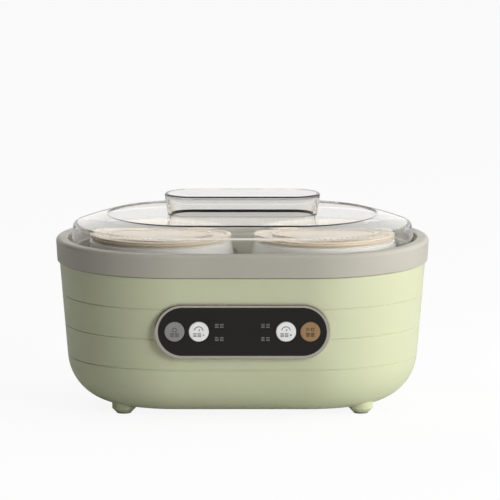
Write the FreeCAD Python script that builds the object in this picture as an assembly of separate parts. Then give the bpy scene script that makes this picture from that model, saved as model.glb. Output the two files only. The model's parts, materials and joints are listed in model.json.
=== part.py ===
import FreeCAD, Part
import math
import os
from FreeCAD import Vector

# A two-jar yogurt maker: a heated tub in a soft oblong casing, with a clear lift-off cover.
# Millimetres. Z is up, the table is at Z = 0, the control panel faces -Y.

# Fits between pieces
slip_gap = 0.3
seam_gap = 0.5
lid_gap = 0.5
screw_radius = 1.3
screw_head_radius = 2.8
screw_head_height = 1.8
screw_slot_width = 0.8
screw_slot_depth = 0.7
blind_end = 1.0
edge_break = 0.5
fine_break = 0.2

# Plan of the casing: an oblong with round ends, laid out round two jars side by side
jar_belly_radius = 57.5
jar_half_gap = 3.8
tub_clearance = 3.5
rim_reach = 29.0
end_shift = 11.3
rim_width = 9.0
rim_height = 17.5
rim_draft = 1.1
rim_side_wall = 2.6
rim_top_wall = 2.4
rim_inner_wall = 2.0
rim_rounding = 3.0
rim_inner_rounding = 1.2
rim_overhang = 1.7
casing_wall = 2.5
casing_taper = math.radians(4.9)
casing_corner = 37.5
groove_shares = (0.336, 0.658, 0.987)
groove_width = 1.2
groove_depth = 0.6
shelf_width = 4.8
shelf_thick = 3.0

# Underside
foot_height = 4.4
foot_radius = 8.8
foot_chamfer = 2.2
foot_outset = 9.7
foot_angle = math.radians(43.5)
pad_radius = 6.4
pad_low_radius = 5.2
pad_height = 1.6
pad_plug_radius = 3.5
pad_plug_length = 3.0
base_thick = 3.0
base_edge = 1.5
base_lip_width = 7.5
base_lip_thick = 2.5
base_boss_radius = 3.5
base_boss_height = 6.0
base_screw_x = 25.0
vent_length = 26.0
vent_width = 3.0
vent_pitch = 7.0
vent_count = 4
vent_centre_x = 66.0

# Power board on the base
power_board_length = 84.0
power_board_width = 56.0
power_board_thick = 1.6
power_board_standoff = 5.0
standoff_radius = 3.5
standoff_inset = 5.0
part_headroom = 16.0
transformer_size = (20.0, 16.0, 10.0)
transformer_inset = 20.0
relay_size = (16.0, 12.0, 9.0)
relay_inset = 20.0
capacitor_radius = 5.0
capacitor_height = 10.0
capacitor_y = 15.0
socket_size = (9.0, 6.0, 7.0)
heater_socket_y = -20.0

# Heated tub
tub_wall = 2.0
tub_floor_lip = 9.0
tub_floor_thick = 2.0
tub_flange_thick = 2.0
tub_boss_radius = 3.6
tub_boss_height = 12.0
tub_boss_reach = 3.0
tub_boss_x = 30.0
tub_boss_angle = math.radians(68.0)
wrap_thick = 2.5
wrap_low_gap = 4.0
wrap_high_gap = 4.0
plate_thick = 2.0
plate_tab_radius = 4.4
plate_seal_thick = 1.0
plate_seal_width = 6.0
heater_inset = 4.0
heater_hole_radius = 10.0
heater_thick = 1.0
sensor_radius = 4.0
sensor_flange_radius = 6.0
sensor_flange_thick = 1.5
sensor_height = 5.0
clip_length = 26.0
clip_width = 10.0
clip_thick = 0.8
fuse_radius = 2.0
fuse_length = 14.0
fuse_y = 28.0
fuse_clip_length = 5.0
fuse_clip_wall = 1.2

# Jars, their lids and seals
jar_height = 94.5
jar_foot_inset = 13.5
jar_foot_ring = 5.0
jar_foot_rise = 1.2
jar_mouth_inset = 4.7
jar_wall = 4.0
jar_floor = 6.0
jar_collar = 7.0
jar_shoulder_height = 22.3
jar_belly_rounding = 14.0
jar_lip_rounding = 1.4
lid_inset = 4.5
lid_thick = 4.1
lid_plug_wall = 2.5
lid_plug_depth = 5.0
lid_rise = 3.4
lid_rim_width = 3.5
lid_dish_depth = 1.4
lid_ring_inset = 17.0
lid_ring_rise = 0.9
lid_edge_height = 0.9
lid_groove_height = 0.9
lid_groove_depth = 0.7
lid_bead_height = 0.8
lid_undercut = 1.6
lid_rounding = 0.7
seal_thick = 0.8
seal_width = 2.4

# Clear cover
cover_seat_depth = 6.0
ledge_thick = 2.5
ledge_clearance = 1.0
rim_seal_width = 2.0
rim_seal_thick = 1.2
rim_seal_inset = 3.0
cover_gap = 1.4
cover_wall = 2.5
cover_lean = 3.0
cover_height = 23.8
cover_slope_height = 7.8
cover_bulge = 0.3
cover_crease = 3.0
recess_depth = 0.8
recess_rim = 1.0
recess_inset = 19.6
recess_end_inset = 9.4
handle_end_inset = 12.5
handle_top_radius = 21.0
handle_base_radius = 18.5
handle_height = 16.0
handle_wall = 2.5
handle_rounding = 1.6

# Control panel
panel_drop = 58.0
bezel_length = 131.5
bezel_height = 41.8
bezel_band = 2.7
bezel_proud = 2.0
bezel_rounding = 1.2
bezel_lap = 0.9
window_recess = 0.6
window_thick = 2.0
window_lip = 2.0
window_lip_thick = 1.2
neck_depth = 7.6
board_depth = 11.2
control_board_thick = 1.6
carrier_margin = 3.5
carrier_band = 4.2
post_radius = 2.2
post_inset = 0.2
button_radius = 7.4
button_end_inset = 12.45
button_pitch = 18.1
button_names = ("menu_button", "time_down_button", "time_up_button", "start_button")
button_proud = 0.6
button_flange = 1.1
button_flange_thick = 1.2
button_flange_gap = 0.4
button_stem_radius = 3.0
button_rounding = 0.5
switch_width = 6.2
switch_height = 4.0
plunger_radius = 1.75
plunger_rise = 1.0
plunger_length = 3.0
plunger_well = 1.4
display_gap = 0.7
display_height = 16.0
guide_length = 7.6
guide_height = 3.4
guide_inset = 15.5
guide_z = 5.1
led_length = 3.0
led_height = 2.0
led_thick = 1.6
ribbon_width = 12.0
ribbon_thick = 1.0
ribbon_bend = 8.0
ribbon_socket = (14.0, 5.0, 6.0)
ribbon_drop = 16.0

# Power inlet on the rear wall: a recess with two pins
inlet_drop = 76.0
inlet_flange_length = 36.0
inlet_flange_height = 17.0
inlet_flange_thick = 1.9
inlet_flange_corner = 3.0
inlet_body_length = 20.8
inlet_body_height = 12.2
inlet_body_depth = 13.0
inlet_recess_length = 17.4
inlet_recess_height = 8.8
inlet_recess_depth = 10.7
inlet_pin_radius = 1.18
inlet_pin_pitch = 8.6
inlet_pin_set_in = 1.5
inlet_tail_radius = 0.9
inlet_tail_inset = 2.2
inlet_tail_drop = 11.0
inlet_screw_pitch = 28.4
inlet_screw_length = 7.0
inlet_boss_radius = 3.2
inlet_pad_thick = 3.0
inlet_pad_margin = 5.0
lead_radius = 1.1
lead_bend = 8.0
lead_height_share = 0.6
heater_lead_spacing = 3.6

# Places on the power board
transformer_x = transformer_inset - power_board_length / 2
relay_x = power_board_length / 2 - relay_inset

# Layout of the jars, and the plan that follows from it
jar_offset = jar_belly_radius + jar_half_gap
half_straight = jar_offset - end_shift
tub_radius = jar_belly_radius + tub_clearance
rim_radius = tub_radius + rim_reach
jar_foot_radius = jar_belly_radius - jar_foot_inset
heater_radius = jar_foot_radius - heater_inset
lid_radius = jar_belly_radius - lid_inset
lid_ring_radius = lid_radius - lid_ring_inset
jar_mouth_radius = jar_belly_radius - jar_mouth_inset
jar_bore_radius = jar_mouth_radius - jar_wall
lid_plug_radius = jar_bore_radius - lid_gap

# Levels, from the table up through the stack that the jars stand on
casing_bottom = foot_height
base_top = casing_bottom + base_thick
power_board_low = base_top + power_board_standoff
power_board_high = power_board_low + power_board_thick
plate_bottom = power_board_high + part_headroom
plate_top = plate_bottom + plate_thick
tub_floor = plate_top + plate_seal_thick
jar_rim = plate_top + jar_height
lid_low = jar_rim + seal_thick
lid_top = lid_low + lid_thick
rim_top = lid_top - lid_rise
rim_bottom = rim_top - rim_height
casing_shoulder = rim_bottom - seam_gap
casing_top = rim_top - rim_top_wall
ledge_top = rim_top - cover_seat_depth
ledge_low = ledge_top - ledge_thick
flange_low = ledge_low - tub_flange_thick
shelf_low = flange_low - shelf_thick
cover_top = ledge_top + cover_height
recess_floor = cover_top - recess_depth
panel_z = rim_top - panel_drop
inlet_z = rim_top - inlet_drop

# Radii of the oblong sections, measured from the axis of each round end
rim_inner_radius = rim_radius - rim_width
rim_foot_radius = rim_radius - rim_draft
collar_radius = rim_foot_radius - rim_side_wall - slip_gap
collar_inner_radius = rim_inner_radius + rim_inner_wall + slip_gap
casing_top_radius = rim_foot_radius - rim_overhang
tub_outer_radius = tub_radius + tub_wall
tub_flange_radius = collar_inner_radius - slip_gap
cover_foot_radius = rim_inner_radius - cover_gap
recess_radius = cover_foot_radius - recess_inset
recess_half_straight = half_straight - recess_end_inset
handle_half_straight = half_straight - handle_end_inset


def casing_radius(z):
    """Outer end radius of the tapered wall at height z."""
    return casing_top_radius - (casing_shoulder - z) * math.tan(casing_taper)


wall_offset = casing_wall / math.cos(casing_taper)
corner_cut = casing_corner / math.tan((math.pi / 2 + casing_taper) / 2)
wall_low = casing_bottom + corner_cut * math.cos(casing_taper)
flat_radius = casing_radius(casing_bottom) - corner_cut
base_radius = flat_radius - base_edge
base_hole_radius = base_radius - base_lip_width
base_screw_radius = base_radius - base_lip_width / 2

# Depths of the panel stack, from the bezel's face inwards
bezel_front = -(casing_radius(panel_z + bezel_height / 2) + bezel_proud)
window_front = bezel_front + window_recess
window_back = window_front + window_thick
lip_back = window_back + window_lip_thick
neck_back = bezel_front + neck_depth
board_front = bezel_front + board_depth
board_back = board_front + control_board_thick
switch_front = board_front - switch_height
plunger_front = switch_front - plunger_rise
window_length = bezel_length - 2 * bezel_band
window_height = bezel_height - 2 * bezel_band
neck_length = bezel_length - 2 * bezel_lap - 2 * slip_gap
neck_height = bezel_height - 2 * bezel_lap - 2 * slip_gap
post_z = neck_height / 2 - post_radius - post_inset
outer_button_x = window_length / 2 - button_end_inset
inner_button_x = outer_button_x - button_pitch
button_centres = (-outer_button_x, -inner_button_x, inner_button_x, outer_button_x)
post_x = (outer_button_x + inner_button_x) / 2
guide_x = inner_button_x - guide_inset
display_length = 2 * (guide_x - guide_length / 2 - display_gap)
carrier_length = neck_length + 2 * carrier_margin + carrier_band
carrier_height = neck_height + 2 * carrier_margin + carrier_band
inlet_seat = casing_radius(inlet_z - inlet_flange_height / 2) - seam_gap
inlet_tail_y = inlet_seat - inlet_body_depth + inlet_tail_inset


# Shape helpers


def rounded_outline(corners):
    """Closed wire in the XZ plane through corners given as (x, z, rounding radius)."""
    points = [Vector(x, 0, z) for x, z, radius in corners]
    count = len(points)
    arcs = []
    for index, corner in enumerate(corners):
        here = points[index]
        back = (points[index - 1] - here).normalize()
        ahead = (points[(index + 1) % count] - here).normalize()
        half_turn = back.getAngle(ahead) / 2
        radius = corner[2]
        reach = radius / math.tan(half_turn)
        middle = (back + ahead).normalize() if radius else Vector(0, 0, 0)
        depth = radius / math.sin(half_turn) - radius
        arcs.append((here + back * reach, here + middle * depth, here + ahead * reach, radius))
    edges = []
    for index, arc in enumerate(arcs):
        start, middle, end, radius = arc
        if radius:
            edges.append(Part.Arc(start, middle, end).toShape())
        following = arcs[(index + 1) % count][0]
        if (following - end).Length > 1e-6:
            edges.append(Part.LineSegment(end, following).toShape())
    return Part.Wire(edges)


def turned(corners):
    """Solid of revolution about Z from a closed (radius, z, rounding) outline."""
    return Part.Face(rounded_outline(corners)).revolve(Vector(0, 0, 0), Vector(0, 0, 1), 360)


def oblong(corners, straight):
    """Sweep a closed (radius, z, rounding) outline round an oblong with two round ends."""
    face = Part.Face(rounded_outline(corners))
    pieces = []
    for side in (-1, 1):
        quarter = face.copy()
        quarter.rotate(Vector(0, 0, 0), Vector(0, 0, 1), -90 * side)
        end = quarter.revolve(Vector(0, 0, 0), Vector(0, 0, 1), 180)
        end.translate(Vector(side * straight, 0, 0))
        run = quarter.copy()
        run.translate(Vector(-straight, 0, 0))
        pieces.append(end)
        pieces.append(run.extrude(Vector(2 * straight, 0, 0)))
    return pieces[0].fuse(pieces[1:]).removeSplitter()


def oblong_plate(straight, radius, low, high):
    """Flat oblong plate between two heights."""
    plate = box(-straight, straight, -radius, radius, low, high)
    ends = [rod(side * straight, 0, radius, low, high) for side in (-1, 1)]
    return plate.fuse(ends).removeSplitter()


def oblong_band(straight, outer, inner, low, high):
    """Flat oblong ring between two heights."""
    return oblong_plate(straight, outer, low, high).cut(oblong_plate(straight, inner, low, high))


def oblong_loft(sections, ruled):
    """Solid through oblong outlines given as (straight, radius, height), with straight or smooth walls."""
    wires = []
    for straight, radius, height in sections:
        corners = [Vector(x * straight, y * radius, height) for x, y in ((-1, -1), (1, -1), (1, 1), (-1, 1))]
        right = Vector(straight + radius, 0, height)
        left = Vector(-straight - radius, 0, height)
        wires.append(Part.Wire([
            Part.LineSegment(corners[0], corners[1]).toShape(),
            Part.Arc(corners[1], right, corners[2]).toShape(),
            Part.LineSegment(corners[2], corners[3]).toShape(),
            Part.Arc(corners[3], left, corners[0]).toShape(),
        ]))
    return Part.makeLoft(wires, True, ruled)


def front_plate(length, height, front, back):
    """Upright plate with round ends at the panel's centre, between two depths along Y."""
    plate = oblong_plate(length / 2 - height / 2, height / 2, 0, back - front)
    plate.rotate(Vector(0, 0, 0), Vector(1, 0, 0), 90)
    plate.translate(Vector(0, back, panel_z))
    return plate


def box(x0, x1, y0, y1, z0, z1):
    """Box between two corners."""
    return Part.makeBox(x1 - x0, y1 - y0, z1 - z0, Vector(x0, y0, z0))


def block(size, x, y, low):
    """Box of a given size standing on a height, centred on x and y."""
    length, width, height = size
    return box(x - length / 2, x + length / 2, y - width / 2, y + width / 2, low, low + height)


def rod(x, y, radius, low, high):
    """Upright cylinder."""
    return Part.makeCylinder(radius, high - low, Vector(x, y, low))


def rod_along_y(x, z, radius, front, back):
    """Cylinder along Y between two depths."""
    return Part.makeCylinder(radius, back - front, Vector(x, front, z), Vector(0, 1, 0))


def screw_up(x, y, head_low, tip):
    """Screw driven upwards from below, its head at the bottom."""
    head = rod(x, y, screw_head_radius, head_low, head_low + screw_head_height)
    slot = block((2 * screw_head_radius, screw_slot_width, screw_slot_depth), x, y, head_low)
    return head.fuse(rod(x, y, screw_radius, head_low, tip)).cut(slot)


def at_corners(x, y):
    """The four points at plus and minus x and y."""
    return [(sx * x, sy * y) for sx in (-1, 1) for sy in (-1, 1)]


def level_edge(edge, height):
    """True for an edge that lies flat at a height."""
    middle = abs(edge.BoundBox.Center.z - height)
    return middle + edge.BoundBox.ZLength < fine_break / 10


def group(solids):
    """Several separate solids as one shape."""
    return Part.makeCompound(solids)


# Casing, rim and underside


def groove_corners(z):
    """Outline points of one fine groove round the casing wall, from top to bottom."""
    half = groove_width / 2
    floor = casing_radius(z) - groove_depth
    upper = z + half
    lower = z - half
    return [
        (casing_radius(upper), upper, 0),
        (floor, z + half / 3, 0),
        (floor, z - half / 3, 0),
        (casing_radius(lower), lower, 0),
    ]


def casing_inside():
    """The room inside the casing wall, as a solid."""
    low = casing_bottom + casing_wall
    return oblong([
        (0, casing_shoulder, 0),
        (casing_radius(casing_shoulder) - wall_offset, casing_shoulder, 0),
        (casing_radius(low) - wall_offset, low, casing_corner - casing_wall),
        (0, low, 0),
    ], half_straight)


def casing_envelope():
    """The casing's outside below the rim, filled."""
    return oblong([
        (0, casing_shoulder, 0),
        (casing_top_radius, casing_shoulder, 0),
        (casing_radius(casing_bottom), casing_bottom, casing_corner),
        (0, casing_bottom, 0),
    ], half_straight)


def foot_points():
    """Centres of the four feet."""
    reach = flat_radius + foot_outset
    return at_corners(half_straight + reach * math.cos(foot_angle), reach * math.sin(foot_angle))


def base_screw_points():
    """Centres of the screws that hold the base cover."""
    ends = [(side * (half_straight + base_screw_radius), 0) for side in (-1, 1)]
    return at_corners(base_screw_x, base_screw_radius) + ends


def outer_casing(inside, envelope):
    low = casing_bottom + casing_wall
    wall = [(collar_radius, casing_top, edge_break), (collar_radius, casing_shoulder, 0)]
    wall.append((casing_top_radius, casing_shoulder, edge_break))
    for share in groove_shares:
        wall += groove_corners(casing_shoulder - share * (casing_shoulder - wall_low))
    wall.append((casing_radius(casing_bottom), casing_bottom, casing_corner))
    wall.append((base_radius, casing_bottom, edge_break))
    wall.append((base_radius, low, 0))
    wall.append((casing_radius(low) - wall_offset, low, casing_corner - casing_wall))
    wall.append((casing_radius(casing_shoulder) - wall_offset, casing_shoulder, 0))
    wall.append((collar_inner_radius, casing_shoulder + casing_wall, 0))
    wall.append((collar_inner_radius, casing_top, edge_break))
    casing = oblong(wall, half_straight)
    shelf_outer = collar_inner_radius + slip_gap
    shelf = oblong_band(half_straight, shelf_outer, shelf_outer - shelf_width, shelf_low, flange_low)
    lip_root = base_radius + base_lip_width
    lip = oblong([
        (base_hole_radius, base_top + base_lip_thick, 0),
        (base_hole_radius, base_top, 0),
        (base_radius, base_top, 0),
        (base_radius, low - casing_wall / 2, 0),
        (lip_root, low - casing_wall / 2, 0),
        (lip_root, base_top + base_lip_thick, 0),
    ], half_straight)
    casing = casing.fuse([shelf, lip])
    for x, y in base_screw_points():
        boss_top = base_top + base_lip_thick + base_boss_height
        casing = casing.fuse(rod(x, y, base_boss_radius, base_top + base_lip_thick / 2, boss_top))
        casing = casing.cut(rod(x, y, screw_radius, base_top, boss_top - blind_end))
    for x, y in foot_points():
        foot_top = pad_height + casing_corner / 2
        foot = turned([
            (0, pad_height, 0),
            (foot_radius - foot_chamfer, pad_height, 0),
            (foot_radius, pad_height + foot_chamfer, edge_break),
            (foot_radius, foot_top, 0),
            (0, foot_top, 0),
        ])
        foot.translate(Vector(x, y, 0))
        casing = casing.fuse(foot.cut(envelope))
        casing = casing.cut(rod(x, y, pad_plug_radius, pad_height, pad_height + pad_plug_length))
    opening_length = neck_length + 2 * slip_gap
    opening_height = neck_height + 2 * slip_gap
    casing = casing.cut(front_plate(opening_length, opening_height, bezel_front, board_front))
    pad_x = inlet_flange_length / 2 + inlet_pad_margin
    pad_z = inlet_flange_height / 2 + inlet_pad_margin
    pad_low = inlet_seat - inlet_pad_thick
    pad = box(-pad_x, pad_x, pad_low, rim_radius, inlet_z - pad_z, inlet_z + pad_z)
    casing = casing.fuse(pad.common(inside))
    for side in (-1, 1):
        x = side * inlet_screw_pitch / 2
        deep = inlet_seat - inlet_screw_length - blind_end
        casing = casing.fuse(rod_along_y(x, inlet_z, inlet_boss_radius, deep, inlet_seat))
    casing = casing.cut(inlet_flange(slip_gap, inlet_seat, rim_radius))
    body_x = inlet_body_length / 2 + slip_gap
    body_z = inlet_body_height / 2 + slip_gap
    deep = inlet_seat - inlet_body_depth
    casing = casing.cut(box(-body_x, body_x, deep, rim_radius, inlet_z - body_z, inlet_z + body_z))
    for side in (-1, 1):
        x = side * inlet_screw_pitch / 2
        bottom = inlet_seat - inlet_screw_length
        casing = casing.cut(rod_along_y(x, inlet_z, screw_radius, bottom, rim_radius))
    return casing.removeSplitter()


def rim_ring():
    ring = oblong([
        (rim_foot_radius, rim_bottom, edge_break),
        (rim_radius, rim_top, rim_rounding),
        (rim_inner_radius, rim_top, rim_inner_rounding),
        (rim_inner_radius, ledge_low, 0),
        (rim_inner_radius + rim_inner_wall, ledge_low, 0),
        (rim_inner_radius + rim_inner_wall, casing_top, 0),
        (collar_radius + slip_gap, casing_top, 0),
        (collar_radius + slip_gap, rim_bottom, 0),
    ], half_straight)
    ledge = oblong_plate(half_straight, rim_inner_radius + rim_inner_wall / 2, ledge_low, ledge_top)
    mouth = oblong_plate(jar_offset, tub_radius + ledge_clearance, ledge_low, ledge_top)
    return ring.fuse(ledge.cut(mouth)).removeSplitter()


def rim_seal_band(extra):
    """Band of the seal between the rim's ledge and the tub's flange, with an added width."""
    outer = tub_flange_radius - rim_seal_inset
    low = ledge_low - rim_seal_thick
    return oblong_band(half_straight, outer + extra, outer - rim_seal_width - extra, low, ledge_low)


def base_cover():
    cover = oblong_plate(half_straight, base_radius - slip_gap, casing_bottom, base_top)
    for x, y in standoff_points():
        cover = cover.fuse(rod(x, y, standoff_radius, casing_bottom, power_board_low))
        cover = cover.cut(rod(x, y, screw_radius, base_top, power_board_low))
    for x, y in base_screw_points():
        head_top = casing_bottom + screw_head_height + slip_gap
        cover = cover.cut(rod(x, y, screw_radius + slip_gap, casing_bottom, base_top))
        cover = cover.cut(rod(x, y, screw_head_radius + slip_gap, casing_bottom, head_top))
    for side in (-1, 1):
        for index in range(vent_count):
            x = side * vent_centre_x + (index - (vent_count - 1) / 2) * vent_pitch
            run = vent_length / 2 - vent_width / 2
            slot = box(x - vent_width / 2, x + vent_width / 2, -run, run, casing_bottom, base_top)
            ends = [rod(x, sign * run, vent_width / 2, casing_bottom, base_top) for sign in (-1, 1)]
            cover = cover.cut(slot.fuse(ends))
    return cover.removeSplitter()


def foot_pads():
    pads = []
    for x, y in foot_points():
        pad = turned([
            (0, 0, 0),
            (pad_low_radius, 0, edge_break),
            (pad_radius, pad_height, 0),
            (pad_plug_radius - slip_gap, pad_height, 0),
            (pad_plug_radius - slip_gap, pad_height + pad_plug_length - slip_gap, 0),
            (0, pad_height + pad_plug_length - slip_gap, 0),
        ])
        pad.translate(Vector(x, y, 0))
        pads.append(pad)
    return group(pads)


def base_screws():
    tip = base_top + base_lip_thick + base_boss_height - 2 * blind_end
    low = casing_bottom + slip_gap
    return group([screw_up(x, y, low, tip) for x, y in base_screw_points()])


# Heated tub


def tub_boss_points():
    """Centres of the bosses under the tub that take the plate's screws."""
    reach = tub_outer_radius + tub_boss_reach
    end_x = jar_offset + reach * math.cos(tub_boss_angle)
    return at_corners(tub_boss_x, reach) + at_corners(end_x, reach * math.sin(tub_boss_angle))


def inner_tub():
    flange = oblong_plate(half_straight, tub_flange_radius, flange_low, ledge_low)
    wall = oblong_plate(jar_offset, tub_outer_radius, tub_floor, ledge_low)
    tub = flange.fuse(wall)
    for x, y in tub_boss_points():
        tub = tub.fuse(rod(x, y, tub_boss_radius, plate_top, tub_floor + tub_boss_height))
    tub = tub.cut(oblong_plate(jar_offset, tub_radius, tub_floor + tub_floor_thick, ledge_low))
    tub = tub.cut(oblong_plate(jar_offset, tub_radius - tub_floor_lip, tub_floor, ledge_low))
    tub = tub.cut(rim_seal_band(slip_gap / 3))
    for x, y in tub_boss_points():
        tub = tub.cut(rod(x, y, screw_radius, plate_top, tub_floor + tub_boss_height - blind_end))
    return tub.removeSplitter()


def insulation_wrap():
    inner = tub_outer_radius + slip_gap / 2
    low = tub_floor + tub_boss_height + wrap_low_gap
    return oblong_band(jar_offset, inner + wrap_thick, inner, low, shelf_low - wrap_high_gap)


def heater_plate():
    plate = oblong_plate(jar_offset, tub_outer_radius, plate_bottom, plate_top)
    tabs = [rod(x, y, plate_tab_radius, plate_bottom, plate_top) for x, y in tub_boss_points()]
    plate = plate.fuse(tabs)
    for x, y in tub_boss_points():
        plate = plate.cut(rod(x, y, screw_radius + slip_gap, plate_bottom, plate_top))
    return plate.removeSplitter()


def plate_seal():
    outer = tub_radius - seam_gap
    return oblong_band(jar_offset, outer, outer - plate_seal_width, plate_top, tub_floor)


def plate_screws():
    tip = tub_floor + tub_boss_height - 2 * blind_end
    low = plate_bottom - screw_head_height
    return group([screw_up(x, y, low, tip) for x, y in tub_boss_points()])


def heater_mat(side):
    mat = rod(side * jar_offset, 0, heater_radius, plate_bottom - heater_thick, plate_bottom)
    return mat.cut(rod(side * jar_offset, 0, heater_hole_radius, plate_bottom - heater_thick, plate_bottom))


def temperature_sensor():
    flange_low_z = plate_bottom - sensor_flange_thick
    flange = rod(0, 0, sensor_flange_radius, flange_low_z, plate_bottom)
    return flange.fuse(rod(0, 0, sensor_radius, plate_bottom - sensor_height, plate_bottom))


def sensor_clip():
    high = plate_bottom - sensor_flange_thick
    low = high - clip_thick
    half = clip_length / 2
    strap = box(-half, half, -clip_width / 2, clip_width / 2, low, high)
    for side in (-1, 1):
        inner = side * (half - 2 * clip_thick)
        leg_low = min(side * half, inner)
        leg_high = max(side * half, inner)
        strap = strap.fuse(box(leg_low, leg_high, -clip_width / 2, clip_width / 2, low, plate_bottom))
    return strap.cut(rod(0, 0, sensor_radius + slip_gap, low, plate_bottom)).removeSplitter()


def fuse_axis_rod(radius, length):
    """Cylinder along X under the plate, where the thermal fuse lies."""
    z = plate_bottom - fuse_radius - slip_gap
    start = Vector(-length / 2, fuse_y, z)
    return Part.makeCylinder(radius, length, start, Vector(1, 0, 0))


def thermal_fuse():
    return fuse_axis_rod(fuse_radius, fuse_length)


def fuse_clip():
    reach = fuse_radius + slip_gap + fuse_clip_wall
    half = fuse_clip_length / 2
    low = plate_bottom - 2 * fuse_radius - slip_gap - fuse_clip_wall
    clip = box(-half, half, fuse_y - reach, fuse_y + reach, low, plate_bottom)
    return clip.cut(fuse_axis_rod(fuse_radius + slip_gap / 3, fuse_length))


# Power board


def standoff_points():
    """Centres of the posts under the power board."""
    x = power_board_length / 2 - standoff_inset
    return at_corners(x, power_board_width / 2 - standoff_inset)


def power_board():
    size = (power_board_length, power_board_width, power_board_thick)
    board = block(size, 0, 0, power_board_low)
    for x, y in standoff_points():
        board = board.cut(rod(x, y, screw_radius + slip_gap, power_board_low, power_board_high))
    return board


def power_board_screws():
    screws = []
    for x, y in standoff_points():
        head = rod(x, y, screw_head_radius, power_board_high, power_board_high + screw_head_height)
        screws.append(head.fuse(rod(x, y, screw_radius, base_top + blind_end, power_board_high)))
    return group(screws)


def transformer():
    core = block(transformer_size, transformer_x, 0, power_board_high)
    length, width, height = transformer_size
    waist = block((length / 2, width, height / 4), transformer_x, 0, power_board_high + height * 3 / 4)
    return core.cut(waist)


def relay():
    return block(relay_size, relay_x, 0, power_board_high)


def capacitor():
    high = power_board_high + capacitor_height
    return rod(relay_x, capacitor_y, capacitor_radius, power_board_high, high)


def heater_socket_x(side):
    """Where a heater's socket stands on the power board: beside the end standoffs."""
    return side * (power_board_length / 2 - standoff_inset - socket_size[0])


def power_sockets():
    sockets = []
    for side in (-1, 1):
        sockets.append(block(socket_size, heater_socket_x(side), heater_socket_y, power_board_high))
    width = power_board_width / 2 - socket_size[1] / 2
    mains = (inlet_pin_pitch + 4 * lead_radius, socket_size[1], socket_size[2])
    panel = (ribbon_socket[0], socket_size[1], socket_size[2])
    sockets.append(block(mains, 0, width, power_board_high))
    sockets.append(block(panel, 0, -width, power_board_high))
    return group(sockets)


def bent_lead(x, run_y, top, run_z, end_y):
    """Round wire that drops beside a wall at run_y, bends and runs level to end_y."""
    inward = -1 if run_y > 0 else 1
    bend_start = Vector(x, run_y, run_z + lead_bend)
    bend_end = Vector(x, run_y + inward * lead_bend, run_z)
    slant = lead_bend * (1 - math.sqrt(0.5))
    bend_middle = Vector(x, run_y + inward * slant, run_z + slant)
    path = Part.Wire([
        Part.LineSegment(Vector(x, run_y, top), bend_start).toShape(),
        Part.Arc(bend_start, bend_middle, bend_end).toShape(),
        Part.LineSegment(bend_end, Vector(x, end_y, run_z)).toShape(),
    ])
    ring = Part.Wire(Part.Circle(Vector(x, run_y, top), Vector(0, 0, 1), lead_radius).toShape())
    return path.makePipeShell([ring], True, False)


def lead_level():
    """Height at which leads reach the power board's sockets."""
    return power_board_high + socket_size[2] * lead_height_share


def inlet_leads():
    top = inlet_z - inlet_tail_drop
    end = power_board_width / 2
    leads = []
    for side in (-1, 1):
        leads.append(bent_lead(side * inlet_pin_pitch / 2, inlet_tail_y, top, lead_level(), end))
    return group(leads)


def heater_leads():
    leads = []
    low = power_board_high + socket_size[2]
    for side in (-1, 1):
        for shift in (-heater_lead_spacing / 2, heater_lead_spacing / 2):
            x = heater_socket_x(side) + shift
            leads.append(rod(x, heater_socket_y, lead_radius, low, plate_bottom - heater_thick))
    return group(leads)


# Power inlet


def inlet_flange(extra, front, back):
    """The inlet's flange outline along Y, with an added margin."""
    x = inlet_flange_length / 2 + extra
    z = inlet_flange_height / 2 + extra
    corner = inlet_flange_corner + extra
    outline = rounded_outline([(-x, -z, corner), (x, -z, corner), (x, z, corner), (-x, z, corner)])
    plate = Part.Face(outline).extrude(Vector(0, back - front, 0))
    plate.translate(Vector(0, front, inlet_z))
    return plate


def inlet_recess(front, back):
    """The oblong recess that a plug fits, along Y."""
    straight = inlet_recess_length / 2 - inlet_recess_height / 2
    recess = oblong_plate(straight, inlet_recess_height / 2, 0, back - front)
    recess.rotate(Vector(0, 0, 0), Vector(1, 0, 0), 90)
    recess.translate(Vector(0, back, inlet_z))
    return recess


def inlet_pin(side):
    """One pin with its tail, which turns down to take a lead."""
    x = side * inlet_pin_pitch / 2
    tip = inlet_seat + inlet_flange_thick - inlet_pin_set_in
    pin = rod_along_y(x, inlet_z, inlet_pin_radius, inlet_tail_y, tip)
    low = inlet_z - inlet_tail_drop
    return pin.fuse(rod(x, inlet_tail_y, inlet_tail_radius, low, inlet_z)).removeSplitter()


def power_inlet():
    deep = inlet_seat - inlet_body_depth
    face = inlet_seat + inlet_flange_thick
    half_x = inlet_body_length / 2
    half_z = inlet_body_height / 2
    body = box(-half_x, half_x, deep, inlet_seat, inlet_z - half_z, inlet_z + half_z)
    inlet = body.fuse(inlet_flange(0, inlet_seat, face))
    inlet = inlet.cut(inlet_recess(face - inlet_recess_depth, face))
    for side in (-1, 1):
        inlet = inlet.cut(inlet_pin(side))
        x = side * inlet_screw_pitch / 2
        inlet = inlet.cut(rod_along_y(x, inlet_z, screw_radius + slip_gap, inlet_seat, face))
    return inlet.removeSplitter()


def inlet_pins():
    return group([inlet_pin(side) for side in (-1, 1)])


def inlet_screws():
    screws = []
    face = inlet_seat + inlet_flange_thick
    for side in (-1, 1):
        x = side * inlet_screw_pitch / 2
        head = rod_along_y(x, inlet_z, screw_head_radius, face, face + screw_head_height / 2)
        half = screw_slot_width / 2
        floor = face + screw_head_height / 4
        reach = screw_head_radius
        slot = box(x - half, x + half, floor, rim_radius, inlet_z - reach, inlet_z + reach)
        shank = rod_along_y(x, inlet_z, screw_radius, inlet_seat - inlet_screw_length, face)
        screws.append(head.cut(slot).fuse(shank))
    return group(screws)


# Control panel


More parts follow.
